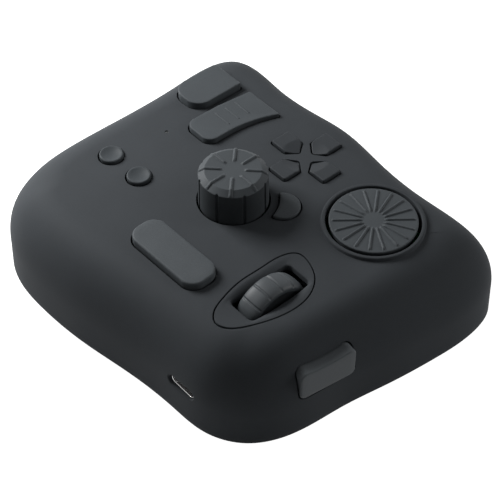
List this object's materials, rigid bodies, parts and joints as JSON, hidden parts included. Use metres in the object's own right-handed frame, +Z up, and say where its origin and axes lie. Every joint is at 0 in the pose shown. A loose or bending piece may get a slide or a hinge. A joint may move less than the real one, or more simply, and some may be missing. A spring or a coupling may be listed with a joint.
{
  "type": "macro keypad with knobs",
  "caption": "Hand-sized desk control pad with rounded housing, grooved knob, flat dial, scroll wheel and shaped buttons for shortcut input.",
  "frame": {"origin": "on the desk, under the middle of the body's bounding box", "axes": "+X to the user's right along the longer side, +Y away from the user towards the USB-C port, +Z up"},
  "size_m": [0.1163, 0.0986, 0.0408],
  "materials": {
    "shell": "soft-touch, fine grain",
    "keys": "soft-touch, smoother than the shell",
    "bezel": "soft-touch",
    "rubber_tyre": "matt",
    "silicone": "matt, slightly tacky",
    "black_plastic": "moulded, bare",
    "steel": "plated",
    "circuit_board": "green solder mask",
    "ceramic": "fired ceramic",
    "clear_pipe": "clear moulded"
  },
  "bodies": {
    "base": {"ballast_plate": "steel", "base_pad": "silicone", "board_connector": "black_plastic", "board_parts": "ceramic", "bottom_cover": "black_plastic", "controller_chip": "black_plastic", "cover_screws": "steel", "dial_encoder": "steel", "housing": "shell", "key_board": "circuit_board", "key_board_screws": "steel", "key_switches": "black_plastic", "knob_encoder": "steel", "light_pipe": "clear_pipe", "main_board": "circuit_board", "main_board_screws": "steel", "power_led": "clear_pipe", "scroll_bezel": "bezel", "scroll_switch": "black_plastic", "side_board": "circuit_board", "side_switch": "black_plastic", "usb_shell": "steel", "usb_tongue": "black_plastic"},
    "top_button": {"top_key": "keys", "top_plunger": "black_plastic"},
    "round_right_button": {"round_right_key": "keys", "round_right_plunger": "black_plastic"},
    "round_left_button": {"round_left_key": "keys", "round_left_plunger": "black_plastic"},
    "tall_button": {"tall_key": "keys", "tall_plunger": "black_plastic"},
    "short_button": {"short_key": "keys", "short_plunger": "black_plastic"},
    "crescent_button": {"crescent_key": "keys", "crescent_plunger": "black_plastic"},
    "pad_right_button": {"pad_right_key": "keys", "pad_right_plunger": "black_plastic"},
    "pad_up_button": {"pad_up_key": "keys", "pad_up_plunger": "black_plastic"},
    "pad_left_button": {"pad_left_key": "keys", "pad_left_plunger": "black_plastic"},
    "pad_down_button": {"pad_down_key": "keys", "pad_down_plunger": "black_plastic"},
    "side_button": {"side_key": "keys", "side_plunger": "black_plastic"},
    "knob_press_group": {"knob_press_button": "black_plastic"},
    "knob": {"knob_cap": "keys", "knob_shaft": "steel"},
    "dial_press_group": {"dial_press_button": "black_plastic"},
    "dial": {"dial_disc": "keys", "dial_shaft": "steel"},
    "scroll_press_group": {"scroll_cradle": "black_plastic", "scroll_encoder": "black_plastic", "scroll_plunger": "black_plastic"},
    "scroll_wheel": {"scroll_tyre": "rubber_tyre", "scroll_hub": "black_plastic", "scroll_axle": "steel"}
  },
  "joints": [
    {"name": "top_press", "type": "slide", "parent": "base", "child": "top_button", "axis": [0, 0, -1], "range_m": [0, 0.0006], "stiffness_N_per_m": 1500, "springref_m": -0.0002},
    {"name": "round_right_press", "type": "slide", "parent": "base", "child": "round_right_button", "axis": [0, 0, -1], "range_m": [0, 0.0006], "stiffness_N_per_m": 1500, "springref_m": -0.0002},
    {"name": "round_left_press", "type": "slide", "parent": "base", "child": "round_left_button", "axis": [0, 0, -1], "range_m": [0, 0.0006], "stiffness_N_per_m": 1500, "springref_m": -0.0002},
    {"name": "tall_press", "type": "slide", "parent": "base", "child": "tall_button", "axis": [0, 0, -1], "range_m": [0, 0.0006], "stiffness_N_per_m": 1500, "springref_m": -0.0002},
    {"name": "short_press", "type": "slide", "parent": "base", "child": "short_button", "axis": [0, 0, -1], "range_m": [0, 0.0006], "stiffness_N_per_m": 1500, "springref_m": -0.0002},
    {"name": "crescent_press", "type": "slide", "parent": "base", "child": "crescent_button", "axis": [0, 0, -1], "range_m": [0, 0.0006], "stiffness_N_per_m": 1500, "springref_m": -0.0002},
    {"name": "pad_right_press", "type": "slide", "parent": "base", "child": "pad_right_button", "axis": [0, 0, -1], "range_m": [0, 0.0006], "stiffness_N_per_m": 1500, "springref_m": -0.0002},
    {"name": "pad_up_press", "type": "slide", "parent": "base", "child": "pad_up_button", "axis": [0, 0, -1], "range_m": [0, 0.0006], "stiffness_N_per_m": 1500, "springref_m": -0.0002},
    {"name": "pad_left_press", "type": "slide", "parent": "base", "child": "pad_left_button", "axis": [0, 0, -1], "range_m": [0, 0.0006], "stiffness_N_per_m": 1500, "springref_m": -0.0002},
    {"name": "pad_down_press", "type": "slide", "parent": "base", "child": "pad_down_button", "axis": [0, 0, -1], "range_m": [0, 0.0006], "stiffness_N_per_m": 1500, "springref_m": -0.0002},
    {"name": "side_press", "type": "slide", "parent": "base", "child": "side_button", "axis": [0.9903, -0.1392, 0], "range_m": [0, 0.0006], "stiffness_N_per_m": 1500, "springref_m": -0.0002},
    {"name": "knob_press", "type": "slide", "parent": "base", "child": "knob_press_group", "axis": [0, 0, -1], "range_m": [0, 0.0005], "stiffness_N_per_m": 2500, "springref_m": -0.0003},
    {"name": "knob_turn", "type": "hinge", "parent": "knob_press_group", "child": "knob", "pos_m": [0.0019, 0.0001, 0.0295], "axis": [0, 0, 1], "continuous": true},
    {"name": "dial_press", "type": "slide", "parent": "base", "child": "dial_press_group", "axis": [0, 0, -1], "range_m": [0, 0.0005], "stiffness_N_per_m": 2500, "springref_m": -0.0003},
    {"name": "dial_turn", "type": "hinge", "parent": "dial_press_group", "child": "dial", "pos_m": [-0.0293, -0.0221, 0.0295], "axis": [0, 0, 1], "continuous": true},
    {"name": "scroll_press", "type": "slide", "parent": "base", "child": "scroll_press_group", "axis": [0, 0, -1], "range_m": [0, 0.0005], "stiffness_N_per_m": 2500, "springref_m": -0.0003},
    {"name": "scroll_turn", "type": "hinge", "parent": "scroll_press_group", "child": "scroll_wheel", "pos_m": [-0.0295, 0.0147, 0.0221], "axis": [1, 0, 0], "continuous": true}
  ]
}
